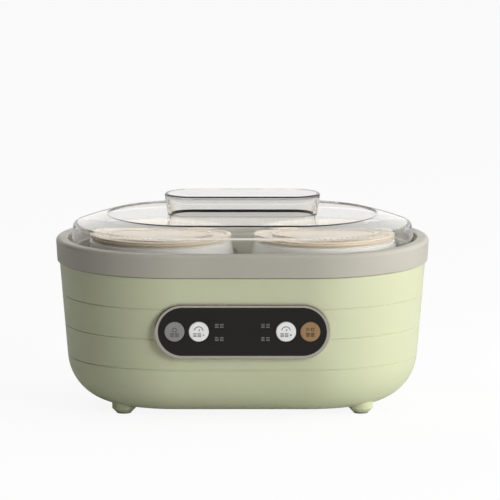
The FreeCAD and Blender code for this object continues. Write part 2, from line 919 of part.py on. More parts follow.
def panel_bezel(envelope):
    front = front_plate(bezel_length, bezel_height, bezel_front, board_front)
    rim = [edge for edge in front.Edges if edge.BoundBox.YMax < bezel_front + bezel_rounding]
    front = front.makeFillet(bezel_rounding, rim)
    collar = front.cut(envelope)
    neck = front_plate(neck_length, neck_height, bezel_front + bezel_rounding, neck_back)
    bezel = collar.fuse(neck)
    bezel = bezel.cut(front_plate(window_length, window_height, bezel_front, window_back))
    inner_length = window_length - 2 * window_lip
    inner_height = window_height - 2 * window_lip
    bezel = bezel.cut(front_plate(inner_length, inner_height, window_back, board_front))
    bezel = bezel.cut(front_plate(window_length, window_height, lip_back, board_front))
    for x, z in at_corners(post_x, post_z):
        post = rod_along_y(x, panel_z + z, post_radius, window_back, board_front)
        bezel = bezel.fuse(post)
        bezel = bezel.cut(rod_along_y(x, panel_z + z, screw_radius, lip_back, board_front))
    return bezel.removeSplitter()


def panel_window():
    window = front_plate(window_length - slip_gap, window_height - slip_gap, window_front, window_back)
    for x in button_centres:
        window = window.cut(rod_along_y(x, panel_z, button_radius + slip_gap, window_front, window_back))
    return window


def board_carrier(inside):
    carrier = front_plate(carrier_length, carrier_height, bezel_front, board_front)
    hole = front_plate(neck_length + seam_gap, neck_height + seam_gap, bezel_front, board_front)
    return carrier.cut(hole).common(inside)


def control_board():
    length = carrier_length - carrier_band / 2
    height = carrier_height - carrier_band / 2
    board = front_plate(length, height, board_front, board_back)
    for x, z in at_corners(post_x, post_z):
        board = board.cut(rod_along_y(x, panel_z + z, screw_radius, board_front, board_back))
    return board


def board_screws():
    screws = []
    for x, z in at_corners(post_x, post_z):
        head_back = board_back + screw_head_height
        head = rod_along_y(x, panel_z + z, screw_head_radius, board_back, head_back)
        shank_front = lip_back + blind_end
        screws.append(head.fuse(rod_along_y(x, panel_z + z, screw_radius, shank_front, board_back)))
    return group(screws)


def switch_bodies():
    switches = []
    half = switch_width / 2
    well_back = board_front - plunger_well / 2
    for x in button_centres:
        body = box(x - half, x + half, switch_front, board_front, panel_z - half, panel_z + half)
        well = rod_along_y(x, panel_z, plunger_radius + slip_gap, switch_front, well_back)
        switches.append(body.cut(well))
    return group(switches)


def switch_plunger(x):
    return rod_along_y(x, panel_z, plunger_radius, plunger_front, plunger_front + plunger_length)


def button_cap(x):
    face = window_front - button_proud
    flange_front = window_back + button_flange_gap
    flange_back = flange_front + button_flange_thick
    flange_radius = button_radius + button_flange
    cap = turned([
        (0, 0, 0),
        (button_radius, 0, button_rounding),
        (button_radius, flange_front - face, 0),
        (flange_radius, flange_front - face, 0),
        (flange_radius, flange_back - face, 0),
        (button_stem_radius, flange_back - face, 0),
        (button_stem_radius, plunger_front - face, 0),
        (0, plunger_front - face, 0),
    ])
    cap.rotate(Vector(0, 0, 0), Vector(1, 0, 0), -90)
    cap.translate(Vector(x, face, panel_z))
    return cap


def led_display():
    half_x = display_length / 2
    half_z = display_height / 2
    return box(-half_x, half_x, window_back, board_front, panel_z - half_z, panel_z + half_z)


def light_guides():
    guides = []
    back = board_front - led_thick
    for x, z in at_corners(guide_x, guide_z):
        half_x = guide_length / 2 - slip_gap
        half_z = guide_height / 2
        middle = panel_z + z
        guides.append(box(x - half_x, x + half_x, window_back, back, middle - half_z, middle + half_z))
    return group(guides)


def indicator_leds():
    leds = []
    front = board_front - led_thick
    for x, z in at_corners(guide_x, guide_z):
        half_x = led_length / 2
        half_z = led_height / 2
        middle = panel_z + z
        leds.append(box(x - half_x, x + half_x, front, board_front, middle - half_z, middle + half_z))
    return group(leds)


def ribbon_centre_y():
    """Depth of the ribbon cable's drop, at the middle of its socket."""
    return board_back + ribbon_socket[1] / 2


def ribbon_plug():
    length, depth, height = ribbon_socket
    low = panel_z - ribbon_drop - height / 2
    return box(-length / 2, length / 2, board_back, board_back + depth, low, low + height)


def ribbon_cable():
    top = panel_z - ribbon_drop - ribbon_socket[2] / 2
    run = lead_level()
    half = ribbon_thick / 2
    end = -power_board_width / 2
    drop = ribbon_centre_y()
    outline = [
        (drop - half, top, 0),
        (drop - half, run - half, ribbon_bend + half),
        (end, run - half, 0),
        (end, run + half, 0),
        (drop + half, run + half, ribbon_bend - half),
        (drop + half, top, 0),
    ]
    strip = Part.Face(rounded_outline(outline)).extrude(Vector(0, ribbon_width, 0))
    strip.rotate(Vector(0, 0, 0), Vector(0, 0, 1), 90)
    strip.translate(Vector(ribbon_width / 2, 0, 0))
    return strip


# Jars, lids and seals


def jar(side):
    belly_low = plate_top + (jar_belly_radius - jar_foot_radius)
    belly_high = jar_rim - jar_shoulder_height
    inner_belly = jar_belly_radius - jar_wall
    floor = plate_top + jar_floor
    shape = turned([
        (0, plate_top + jar_foot_rise, 0),
        (jar_foot_radius - jar_foot_ring, plate_top + jar_foot_rise, 0),
        (jar_foot_radius - jar_foot_ring, plate_top, 0),
        (jar_foot_radius, plate_top, jar_lip_rounding),
        (jar_belly_radius, belly_low, jar_belly_rounding),
        (jar_belly_radius, belly_high, jar_belly_rounding),
        (jar_mouth_radius, jar_rim, jar_lip_rounding),
        (jar_bore_radius, jar_rim, edge_break),
        (jar_bore_radius, jar_rim - jar_collar, jar_wall),
        (inner_belly, belly_high - jar_wall, jar_belly_rounding - jar_wall),
        (inner_belly, belly_low, jar_belly_rounding - jar_wall),
        (jar_foot_radius - jar_wall, floor, jar_wall),
        (0, floor, 0),
    ])
    shape.translate(Vector(side * jar_offset, 0, 0))
    return shape


def jar_lid(side):
    plug_inner = lid_plug_radius - lid_plug_wall
    plug_low = lid_low - lid_plug_depth
    waist = lid_radius - lid_undercut
    groove_floor = lid_radius - lid_groove_depth
    groove_high = lid_top - lid_edge_height
    groove_low = groove_high - lid_groove_height
    groove_third = lid_groove_height / 3
    bead_low = groove_low - lid_bead_height
    dish = lid_top - lid_dish_depth
    dish_edge = lid_radius - lid_rim_width
    shape = turned([
        (0, lid_low, 0),
        (plug_inner, lid_low, 0),
        (plug_inner, plug_low, 0),
        (lid_plug_radius, plug_low, 0),
        (lid_plug_radius, lid_low, 0),
        (waist, lid_low, 0),
        (waist, bead_low, 0),
        (lid_radius, bead_low, 0),
        (lid_radius, groove_low, 0),
        (groove_floor, groove_low + groove_third, 0),
        (groove_floor, groove_high - groove_third, 0),
        (lid_radius, groove_high, 0),
        (lid_radius, lid_top, lid_rounding),
        (dish_edge, lid_top, edge_break),
        (dish_edge - lid_dish_depth, dish, edge_break),
        (lid_ring_radius + lid_ring_rise, dish, edge_break),
        (lid_ring_radius, dish + lid_ring_rise, edge_break),
        (0, dish + lid_ring_rise, 0),
    ])
    shape.translate(Vector(side * jar_offset, 0, 0))
    return shape


def jar_seal(side):
    inner = lid_plug_radius + slip_gap
    ring = rod(side * jar_offset, 0, inner + seal_width, jar_rim, lid_low)
    return ring.cut(rod(side * jar_offset, 0, inner, jar_rim, lid_low))


# Clear cover


def cover_shell(top_radius, top, lip_radius, lip, foot_radius, crease):
    """The cover filled: a bulging shoulder from its flat top to a crease, and a wall down to its foot."""
    middle = (recess_half_straight + half_straight) / 2
    bulged = (top_radius + lip_radius) / 2 + cover_bulge / 2
    shoulder = oblong_loft([
        (recess_half_straight, top_radius, top),
        (middle, bulged, (top + lip) / 2 + cover_bulge),
        (half_straight, lip_radius, lip),
    ], False)
    wall = oblong_loft([(half_straight, lip_radius, lip), (half_straight, foot_radius, ledge_top)], True)
    shell = shoulder.fuse(wall).removeSplitter()
    bend = [edge for edge in shell.Edges if level_edge(edge, lip)]
    return shell.makeFillet(crease, bend)


def cover_dome():
    lip_radius = cover_foot_radius - cover_lean
    lip_top = cover_top - cover_slope_height
    top_radius = recess_radius + recess_rim
    outside = cover_shell(top_radius, cover_top, lip_radius, lip_top, cover_foot_radius, cover_crease)
    inner_radius = top_radius - cover_wall / 4
    inner_top = cover_top - cover_wall
    inner_lip_radius = lip_radius - cover_wall
    inner_lip = lip_top - cover_wall / 2
    inner_foot = cover_foot_radius - cover_wall
    inner_crease = cover_crease - cover_wall / 2
    inside = cover_shell(inner_radius, inner_top, inner_lip_radius, inner_lip, inner_foot, inner_crease)
    recess = oblong_plate(recess_half_straight, recess_radius, recess_floor, cover_top)
    well = oblong_plate(handle_half_straight, handle_base_radius - handle_wall, inner_top, cover_top)
    return outside.cut(inside).cut(recess.fuse(well)).removeSplitter()


def cover_handle():
    top = recess_floor + handle_height
    inner_top = handle_top_radius - handle_wall
    inner_base = handle_base_radius - handle_wall
    return oblong([
        (inner_base, recess_floor, 0),
        (handle_base_radius, recess_floor, fine_break),
        (handle_top_radius, top, handle_rounding),
        (0, top, 0),
        (0, top - handle_wall, 0),
        (inner_top, top - handle_wall, edge_break),
    ], handle_half_straight)


def build():
    """Every sub-part by name."""
    inside = casing_inside()
    envelope = casing_envelope()
    parts = {
        "outer_casing": outer_casing(inside, envelope),
        "rim_ring": rim_ring(),
        "rim_seal": rim_seal_band(0),
        "inner_tub": inner_tub(),
        "insulation_wrap": insulation_wrap(),
        "base_cover": base_cover(),
        "foot_pads": foot_pads(),
        "base_screws": base_screws(),
        "heater_plate": heater_plate(),
        "plate_seal": plate_seal(),
        "plate_screws": plate_screws(),
        "temperature_sensor": temperature_sensor(),
        "sensor_clip": sensor_clip(),
        "thermal_fuse": thermal_fuse(),
        "fuse_clip": fuse_clip(),
        "power_board": power_board(),
        "power_board_screws": power_board_screws(),
        "transformer": transformer(),
        "relay": relay(),
        "capacitor": capacitor(),
        "power_sockets": power_sockets(),
        "inlet_leads": inlet_leads(),
        "heater_leads": heater_leads(),
        "power_inlet": power_inlet(),
        "inlet_pins": inlet_pins(),
        "inlet_screws": inlet_screws(),
        "panel_bezel": panel_bezel(envelope),
        "panel_window": panel_window(),
        "board_carrier": board_carrier(inside),
        "control_board": control_board(),
        "board_screws": board_screws(),
        "switch_bodies": switch_bodies(),
        "led_display": led_display(),
        "light_guides": light_guides(),
        "indicator_leds": indicator_leds(),
        "ribbon_plug": ribbon_plug(),
        "ribbon_cable": ribbon_cable(),
        "cover_dome": cover_dome(),
        "cover_handle": cover_handle(),
    }
    for name, x in zip(button_names, button_centres):
        parts[name] = button_cap(x)
        parts[name.replace("button", "plunger")] = switch_plunger(x)
    for word, side in (("left", -1), ("right", 1)):
        parts["heater_mat_" + word] = heater_mat(side)
        parts["jar_" + word] = jar(side)
        parts["jar_lid_" + word] = jar_lid(side)
        parts["jar_seal_" + word] = jar_seal(side)
    return parts


def main():
    os.makedirs("parts", exist_ok=True)
    for name, shape in build().items():
        if not shape.isValid():
            print("not valid:", name)
        shape.exportStep("parts/" + name + ".step")
        print(name, len(shape.Solids), "solids", round(shape.Volume), "mm3")


main()
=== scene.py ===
# %% [markdown]
# # Dressing a yogurt maker
# The machine is a soft oblong tub on four feet. A clear cover lifts off, two lidded jars stand in a heated
# well, and a dark panel with four keys sits in the front wall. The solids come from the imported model, so
# this lesson gives them finishes, adds the small pieces that a maker prints or presses on, and lights them.

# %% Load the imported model
import json
import math
import bmesh
import bpy
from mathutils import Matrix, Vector


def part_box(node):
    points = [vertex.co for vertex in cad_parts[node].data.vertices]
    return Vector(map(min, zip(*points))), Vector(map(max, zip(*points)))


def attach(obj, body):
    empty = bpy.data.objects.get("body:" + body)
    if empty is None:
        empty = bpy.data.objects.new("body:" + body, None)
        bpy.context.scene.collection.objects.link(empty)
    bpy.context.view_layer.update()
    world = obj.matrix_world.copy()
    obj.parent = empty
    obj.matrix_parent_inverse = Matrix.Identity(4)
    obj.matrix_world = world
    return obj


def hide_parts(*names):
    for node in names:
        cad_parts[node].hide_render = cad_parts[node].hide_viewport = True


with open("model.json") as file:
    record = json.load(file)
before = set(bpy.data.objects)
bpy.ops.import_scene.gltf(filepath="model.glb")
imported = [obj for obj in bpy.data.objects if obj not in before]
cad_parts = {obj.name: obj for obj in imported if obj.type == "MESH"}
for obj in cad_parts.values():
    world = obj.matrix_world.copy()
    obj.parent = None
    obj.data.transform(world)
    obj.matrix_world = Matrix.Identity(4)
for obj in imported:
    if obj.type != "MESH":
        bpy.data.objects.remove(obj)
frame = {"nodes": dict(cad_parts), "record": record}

scene = bpy.context.scene
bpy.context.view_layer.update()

# %% [markdown]
# ## Colours
# Colours are written as they look on a screen, from 0 to 255. The shaders want linear light, so one helper
# converts them with the formula that screens use.


# %% Colour helper
def screen_colour(red, green, blue):
    """Linear RGBA of a colour written as screen values from 0 to 255."""
    linear = []
    for value in (red, green, blue):
        share = value / 255
        linear.append(share / 12.92 if share <= 0.04045 else ((share + 0.055) / 1.055) ** 2.4)
    return (*linear, 1.0)


print("mid grey is", round(screen_colour(128, 128, 128)[0], 3))

# %% [markdown]
# ## Node trees
# The floor, the sky, the finishes and the pieces that repeat are all trees of nodes. A few helpers keep them
# short: a node is added together with its inputs, and each input is a fixed value or another node's output.


# %% Tools for node trees
def feed(tree, value, socket):
    """Join another node's output to an input, or set the input to a fixed value."""
    if isinstance(value, bpy.types.NodeSocket):
        tree.links.new(value, socket)
    else:
        socket.default_value = value


def fill(tree, step, inputs):
    """Feed a node's inputs by name; an underscore stands for a space."""
    for label, value in inputs.items():
        feed(tree, value, step.inputs[label.replace("_", " ")])


def add_step(tree, kind, **inputs):
    """Add a node and feed its inputs."""
    step = tree.nodes.new(kind)
    fill(tree, step, inputs)
    return step


def add_sum(tree, operation, *values, kind="ShaderNodeMath"):
    """Arithmetic on sockets or fixed values."""
    step = tree.nodes.new(kind)
    step.operation = operation
    for value, socket in zip(values, step.inputs):
        feed(tree, value, socket)
    return step.outputs["Value"]


def add_dot(tree, first, second):
    """How far two directions agree: 1 when they are the same and 0 at a right angle."""
    return add_sum(tree, "DOT_PRODUCT", first, second, kind="ShaderNodeVectorMath")


def blend_shaders(tree, share, first, second):
    """Mix two shader nodes by a share."""
    mix = tree.nodes.new("ShaderNodeMixShader")
    for value, socket in zip((share, first.outputs[0], second.outputs[0]), mix.inputs):
        feed(tree, value, socket)
    return mix


print("node tools ready")

# %% [markdown]
# ## Camera
# The front is seen square on, from a little above. A long lens far away keeps the oblong nearly free of
# perspective, as product pictures have it. The camera looks at a point above and beside the middle, which
# leaves the machine low and a little left in the frame without any lens shift.

# %% Camera
PICTURE_PIXELS = 500
PIXELS_PER_METRE = 1332
SENSOR_WIDTH = 36
CAMERA_DISTANCE = 9.0
CAMERA_RISE = math.radians(9.3)
AIM = Vector((0.0057, 0.0, 0.1174))

camera_data = bpy.data.cameras.new("photo_camera")
camera_data.sensor_width = SENSOR_WIDTH
camera_data.lens = SENSOR_WIDTH * PIXELS_PER_METRE * CAMERA_DISTANCE / PICTURE_PIXELS
camera = bpy.data.objects.new("photo_camera", camera_data)
camera.location = AIM + CAMERA_DISTANCE * Vector((0, -math.cos(CAMERA_RISE), math.sin(CAMERA_RISE)))
camera.rotation_euler = (AIM - camera.location).to_track_quat("-Z", "Y").to_euler()
scene.collection.objects.link(camera)
scene.camera = camera
scene.view_settings.view_transform = "Standard"
print("lens:", round(camera_data.lens, 1), "mm")

# %% [markdown]
# ## Floor and studio light
# The floor is a wide pale sheet. Where the camera sees it straight, most of its brightness is its own, so it
# reads as white paper and still keeps a soft shadow. Through the clear cover it shows more as the lamps light
# it, which is greyer, and this gives the clear walls their tone. From below it is clear, so the underside can
# be looked at.

# %% Floor
FLOOR_REACH = 30.0
PAPER_COLOUR = (0.8, 0.8, 0.8, 1)
GLOW_STRENGTH = 1.03
GLOW_SEEN_STRAIGHT = 0.88
GLOW_SEEN_THROUGH = 0.2


def floor_finish():
    """Paper that is lit by the lamps and glows for the camera by a share of its brightness."""
    material = bpy.data.materials.new("paper_floor")
    material.use_nodes = True
    tree = material.node_tree
    tree.nodes.clear()
    paper = add_step(tree, "ShaderNodeBsdfDiffuse", Color=PAPER_COLOUR)
    glow = add_step(tree, "ShaderNodeEmission", Strength=GLOW_STRENGTH)
    path = add_step(tree, "ShaderNodeLightPath").outputs
    straight = add_sum(tree, "MULTIPLY", path["Is Camera Ray"], GLOW_SEEN_STRAIGHT)
    share = add_sum(tree, "MULTIPLY_ADD", path["Is Transmission Ray"], GLOW_SEEN_THROUGH, straight)
    lit = blend_shaders(tree, share, paper, glow)
    side = add_step(tree, "ShaderNodeNewGeometry")
    clear = add_step(tree, "ShaderNodeBsdfTransparent")
    one_way = blend_shaders(tree, side.outputs["Backfacing"], lit, clear)
    add_step(tree, "ShaderNodeOutputMaterial", Surface=one_way.outputs[0])
    return material


floor_mesh = bpy.data.meshes.new("floor")
corners = [(x * FLOOR_REACH, y * FLOOR_REACH, 0) for x, y in ((-1, -1), (1, -1), (1, 1), (-1, 1))]
floor_mesh.from_pydata(corners, [], [(0, 1, 2, 3)])
floor_mesh.materials.append(floor_finish())
floor = bpy.data.objects.new("floor", floor_mesh)
scene.collection.objects.link(floor)
print("floor:", 2 * FLOOR_REACH, "m wide")

# %% [markdown]
# The sky gives the soft part of the light. It is brighter on the right and behind than on the left and in
# front, as in a room with a window on one side and a white wall at the back, so the front fades from right to
# left. Mirrored rays that run nearly level to the right or the back see a brighter wall there, so the flat
# tops of the clear cover turn white and its slopes stay clear. The camera itself sees plain white.

# %% Sky
SKY_COLOUR = (1.0, 0.99, 0.97, 1)
SKY_LEAST = 0.02
WALL_STARTS = 0.7
WALL_IS_FULL = 0.95


def make_sky(level, rightward, backward, mirrored):
    """A sky with a middle strength, its rise to the right and the back, and what mirrored rays see more."""
    sky = bpy.data.worlds.new("studio_sky")
    sky.use_nodes = True
    tree = sky.node_tree
    tree.nodes.clear()
    direction = add_step(tree, "ShaderNodeTexCoord").outputs["Generated"]
    slope = add_dot(tree, direction, (rightward, backward, 0))
    soft = add_sum(tree, "MAXIMUM", add_sum(tree, "ADD", slope, level), SKY_LEAST)
    axis = add_step(tree, "ShaderNodeSeparateXYZ", Vector=direction).outputs
    to_wall = add_sum(tree, "MAXIMUM", axis["X"], axis["Y"])
    wall = add_step(tree, "ShaderNodeMapRange", Value=to_wall, From_Min=WALL_STARTS, From_Max=WALL_IS_FULL)
    path = add_step(tree, "ShaderNodeLightPath").outputs
    seen_wall = add_sum(tree, "MULTIPLY", wall.outputs[0], path["Is Glossy Ray"])
    strength = add_sum(tree, "MULTIPLY_ADD", seen_wall, mirrored, soft)
    lighting = add_step(tree, "ShaderNodeBackground", Color=SKY_COLOUR, Strength=strength)
    white = add_step(tree, "ShaderNodeBackground", Color=(1, 1, 1, 1))
    mixed = blend_shaders(tree, path["Is Camera Ray"], lighting, white)
    add_step(tree, "ShaderNodeOutputWorld", Surface=mixed.outputs[0])
    return sky


scene.world = make_sky(level=0.34, rightward=0.30, backward=0.40, mirrored=0.35)
print("sky:", scene.world.name)

# %% [markdown]
# Three soft boxes do the shaping: a key light to the right of the front and one at the right side, which
# together fade along the front wall, and a weak one overhead for the lids and the rim. The first two are not
# mirrored, because their hard outlines would show in the clear cover. A fourth lamp is a thin strip with a
# narrow beam. It shines over the rim from the front and lifts only the lids, which lie deep in their well.


# %% Lamps
def soft_box(name, place, target, width, height, power):
    """A rectangular lamp at a place, facing a target."""
    lamp = bpy.data.lights.new(name, "AREA")
    lamp.shape = "RECTANGLE"
    lamp.size = width
    lamp.size_y = height
    lamp.energy = power
    holder = bpy.data.objects.new(name, lamp)
    holder.location = place
    direction = Vector(target) - Vector(place)
    holder.rotation_euler = direction.to_track_quat("-Z", "Y").to_euler()
    scene.collection.objects.link(holder)
    return holder


key_light = soft_box("key_light", (1.6, -1.9, 0.9), (0, 0, 0.08), width=1.0, height=1.2, power=37)
side_light = soft_box("side_light", (2.4, -0.3, 0.8), (0.1, 0, 0.08), width=0.8, height=1.2, power=26)
for lamp in (key_light, side_light):
    lamp.visible_glossy = False
    lamp.visible_transmission = False
soft_box("top_light", (0.0, -0.3, 1.9), (0, 0, 0.1), width=1.6, height=0.9, power=4)
lid_light = soft_box("lid_light", (-0.25, -1.01, 0.735), (0, 0, 0.135), width=0.4, height=0.02, power=0.025)
lid_light.data.spread = math.radians(4)

# %% [markdown]
# ## Finishes
# A finish is a small tree of nodes around one Principled shader. Patterns read Object coordinates, which are
# metres in the machine's own frame, so a grain of half a millimetre stays that size on any piece.

# %% Tools for finishes
finishes = {}


class Finish:
    """One material with short ways to add what the finishes share. It is kept in finishes by its name."""

    def __init__(self, name):
        self.material = bpy.data.materials.new(name)
        self.material.use_nodes = True
        self.tree = self.material.node_tree
        self.shader = self.tree.nodes["Principled BSDF"]
        self.place = self.add("ShaderNodeTexCoord").outputs["Object"]
        finishes[name] = self

    def add(self, kind, **inputs):
        """Add a node to the finish."""
        return add_step(self.tree, kind, **inputs)

    def set(self, **inputs):
        """Feed the shader's own inputs."""
        fill(self.tree, self.shader, inputs)

    def noise(self, size, detail=2.0, stretch=(1, 1, 1)):
        """Cloudy pattern whose patches are about size metres across."""
        mapping = self.add("ShaderNodeMapping", Vector=self.place, Scale=stretch)
        cloud = self.add("ShaderNodeTexNoise", Vector=mapping.outputs[0], Scale=1 / size, Detail=detail)
        return cloud.outputs["Fac"]

    def spread(self, source, low, high, start=0.3, end=0.7):
        """Map a pattern's values from start to end onto the range from low to high."""
        step = self.add("ShaderNodeMapRange", Value=source, From_Min=start, From_Max=end,
                        To_Min=low, To_Max=high)
        return step.outputs[0]

    def blend(self, share, first, second):
        """Mix two colours, each a socket or three screen values, by a share."""
        mix = self.add("ShaderNodeMix")
        mix.data_type = "RGBA"
        feed(self.tree, share, mix.inputs["Factor"])
        for colour, label in ((first, "A"), (second, "B")):
            value = screen_colour(*colour) if isinstance(colour, tuple) else colour
            feed(self.tree, value, mix.inputs[label])
        return mix.outputs["Result"]

    def edges(self, radius):
        """1 along sharp edges and 0 on open faces."""
        bevel = self.add("ShaderNodeBevel", Radius=radius)
        bevel.samples = 4
        face = self.add("ShaderNodeNewGeometry")
        same = add_dot(self.tree, bevel.outputs["Normal"], face.outputs["Normal"])
        return self.spread(same, 1, 0, start=0.8, end=0.98)

    def bump(self, height, depth, strength=1.0):
        """Raise the surface by a pattern, depth metres high."""
        raised = self.add("ShaderNodeBump", Height=height, Distance=depth, Strength=strength)
        self.set(Normal=raised.outputs[0])


print("finish tools ready")

# %% [markdown]
# Moulded plastic is the main finish. The real surface is spark-eroded in the mould: a shallow grain of about
# half a millimetre, slightly uneven tone and gloss, and edges that hands have rubbed a little paler. On the
# lids the paler edge is much stronger and is a painted highlight along their rims. Noises of three sizes and
# a Bevel node give these without any picture.

# %% Moulded plastics
TONE_PATCH = 0.06
GLOSS_PATCH = 0.012
GRAIN_SIZE = 0.0005
GRAIN_DEPTH = 0.00002
# Paler edges: rubbing wear on every plastic, and a painted highlight on the lid rims.
WEAR_AND_HIGHLIGHT_WIDTH = 0.0006
WEAR_AND_HIGHLIGHT_PALER = 22


def moulded(name, main, second, gloss=(0.32, 0.46), wear_and_highlight_share=0.25):
    """Plastic of two near tones, a range of roughness, and paler edges: wear and painted highlight."""
    finish = Finish(name)
    body = finish.blend(finish.spread(finish.noise(TONE_PATCH, 3.0), 0, 1), main, second)
    # The paler edge is wear, and where its share is high it is a painted highlight.
    pale = tuple(min(255, channel + WEAR_AND_HIGHLIGHT_PALER) for channel in main)
    wear_and_highlight = add_sum(finish.tree, "MULTIPLY", finish.edges(WEAR_AND_HIGHLIGHT_WIDTH), wear_and_highlight_share)
    finish.set(Base_Color=finish.blend(wear_and_highlight, body, pale),
               Roughness=finish.spread(finish.noise(GLOSS_PATCH, 4.0), *gloss))
    finish.bump(finish.noise(GRAIN_SIZE), GRAIN_DEPTH)


moulded("casing_green", (203, 207, 174), (200, 205, 170))
moulded("rim_grey", (181, 178, 166), (177, 174, 162))
moulded("tub_grey", (172, 169, 156), (167, 164, 151), gloss=(0.45, 0.6))
# The lids' strong paler edge is a painted highlight along their rims.
moulded("lid_cream", (218, 204, 184), (213, 198, 177), gloss=(0.14, 0.2), wear_and_highlight_share=0.9)
moulded("part_black", (38, 38, 38), (32, 32, 32), gloss=(0.4, 0.6))
moulded("key_grey", (144, 143, 141), (140, 139, 137), gloss=(0.3, 0.4))
moulded("key_white", (243, 243, 241), (240, 240, 238), gloss=(0.25, 0.35))
moulded("foot_rubber", (150, 151, 131), (143, 144, 125), gloss=(0.6, 0.8))
moulded("seal_rubber", (222, 222, 216), (214, 214, 208), gloss=(0.5, 0.65))
moulded("lead_white", (232, 232, 228), (226, 226, 222), gloss=(0.4, 0.5))
moulded("heater_orange", (196, 96, 48), (184, 86, 42), gloss=(0.5, 0.65))
print("plastics:", sorted(finishes))

# %% [markdown]
# The panel window is black gloss plastic. What shows it is gloss are the faint smears that a cloth leaves,
# so the roughness changes along it in long soft streaks. Specks of dust make the black a little paler.


# %% Panel window
def smeared_black(name):
    """Black gloss with long smears and specks of dust."""
    finish = Finish(name)
    dust = finish.spread(finish.noise(size=0.0004, detail=1.0), 0, 1, start=0.66, end=0.74)
    smear = finish.noise(size=0.02, detail=3.0, stretch=(0.35, 1, 1))
    finish.set(Base_Color=finish.blend(dust, (24, 21, 18), (30, 27, 24)),
               Roughness=finish.spread(smear, 0.12, 0.24), Specular_IOR_Level=0.3)


smeared_black("window_black")
print("window:", finishes["window_black"].material.name)

# %% [markdown]
# The bezel and the start key carry a metallic lacquer: flakes under a clear coat. A fine Voronoi pattern sets
# each flake's tone, and the coat on top stays smooth.

# %% Metallic lacquers
FLAKES_PER_METRE = 4000


def lacquer(name, main, flake, metallic, roughness):
    """Flakes of two tones under a clear coat."""
    finish = Finish(name)
    cells = finish.add("ShaderNodeTexVoronoi", Vector=finish.place, Scale=FLAKES_PER_METRE)
    tone = finish.spread(cells.outputs["Distance"], 0, 1, start=0.2, end=0.8)
    uneven = finish.noise(size=0.008, detail=3.0)
    finish.set(Base_Color=finish.blend(tone, main, flake), Metallic=metallic,
               Roughness=finish.spread(uneven, roughness - 0.04, roughness + 0.05),
               Coat_Weight=0.3, Coat_Roughness=0.12)
    finish.bump(finish.noise(size=0.0006), depth=0.00001)


lacquer("bezel_silver", (181, 177, 165), (197, 193, 181), metallic=0.85, roughness=0.18)
lacquer("key_bronze", (165, 131, 90), (179, 144, 102), metallic=0.45, roughness=0.36)
print("lacquers: bezel and start key")

# %% [markdown]
# Metals differ by how they were worked. Rolled sheet and drawn pins have fine lines along one direction, so
# their noise is stretched that way. Plated screws have small darker spots instead.


# %% Metals
def worked_metal(name, main, second, roughness, mark, stretch=(1, 1, 1)):
    """Bare metal with marks about mark metres wide, drawn out where a stretch is below 1."""
    finish = Finish(name)
    streak = finish.noise(mark, 3.0, stretch)
    finish.set(Base_Color=finish.blend(finish.spread(streak, 0, 1), main, second), Metallic=1.0,
               Roughness=finish.spread(streak, roughness - 0.07, roughness + 0.07))
    finish.bump(streak, depth=0.000006)


worked_metal("aluminium", (206, 208, 210), (188, 190, 192), 0.36, mark=0.0006, stretch=(0.03, 1, 1))
worked_metal("steel", (178, 178, 176), (156, 156, 154), 0.3, mark=0.002)
worked_metal("brass", (216, 190, 128), (198, 170, 108), 0.26, mark=0.0008, stretch=(1, 0.1, 1))
print("metals: sheet, screws, pins")

# %% [markdown]
# The jars are glazed stoneware: white, smooth and a little uneven in thickness, which shows as slow waves in
# the highlights and a few warm specks in the glaze.


# %% Glazed jars
def glazed(name):
    """White glaze with slow waves and warm specks."""
    finish = Finish(name)
    specks = finish.spread(finish.noise(size=0.0011, detail=1.0), 0, 0.5, start=0.7, end=0.76)
    finish.set(Base_Color=finish.blend(specks, (216, 215, 209), (192, 184, 168)),
               Roughness=finish.spread(finish.noise(size=0.02, detail=3.0), 0.14, 0.22),
               Coat_Weight=0.4, Coat_Roughness=0.05)
    finish.bump(finish.noise(size=0.018), depth=0.0002, strength=0.4)


glazed("jar_white")
print("glaze:", finishes["jar_white"].material.name)

# %% [markdown]
# The cover is clear acrylic. Light is bent by its walls, so it gets full transmission and the plastic's own
# index. A lamp's rays should still reach the lids below, so for shadow rays the shader turns plainly
# transparent. A slow bump stands for the slight waviness of a moulded sheet.

# %% Clear acrylic
ACRYLIC_INDEX = 1.49
SHADOW_TINT = (0.94, 0.94, 0.94, 1)


def clear_acrylic(name, tint):
    """Clear plastic that bends what is seen through it and lets lamps shine through."""
    finish = Finish(name)
    haze = finish.spread(finish.noise(size=0.006, detail=4.0), 0.0, 0.035, start=0.45, end=0.75)
    finish.set(Transmission_Weight=1.0, IOR=ACRYLIC_INDEX, Base_Color=screen_colour(*tint), Roughness=haze)
    finish.bump(finish.noise(size=0.08, detail=0.0), depth=0.0002, strength=0.15)
    through = finish.add("ShaderNodeBsdfTransparent", Color=SHADOW_TINT)
    path = finish.add("ShaderNodeLightPath").outputs
    either = blend_shaders(finish.tree, path["Is Shadow Ray"], finish.shader, through)
    fill(finish.tree, finish.tree.nodes["Material Output"], {"Surface": either.outputs[0]})


clear_acrylic("clear_cover", (252, 252, 251))
clear_acrylic("part_clear", (240, 240, 236))
print("clear plastics: cover and light guides")

# %% [markdown]
# Two finishes are only seen when the machine is open: the circuit boards' solder mask, with its tracks just
# showing through, and the felt round the well.

# %% Boards and felt
TRACKS_PER_METRE = 240


def solder_mask(name):
    """Green mask with raised tracks."""
    finish = Finish(name)
    brick = finish.add("ShaderNodeTexBrick", Vector=finish.place, Scale=TRACKS_PER_METRE, Mortar_Size=0.06)
    track = brick.outputs["Fac"]
    finish.set(Base_Color=finish.blend(track, (22, 92, 56), (34, 120, 74)),
               Roughness=finish.spread(finish.noise(size=0.004), 0.3, 0.45))
    finish.bump(track, depth=0.00004)


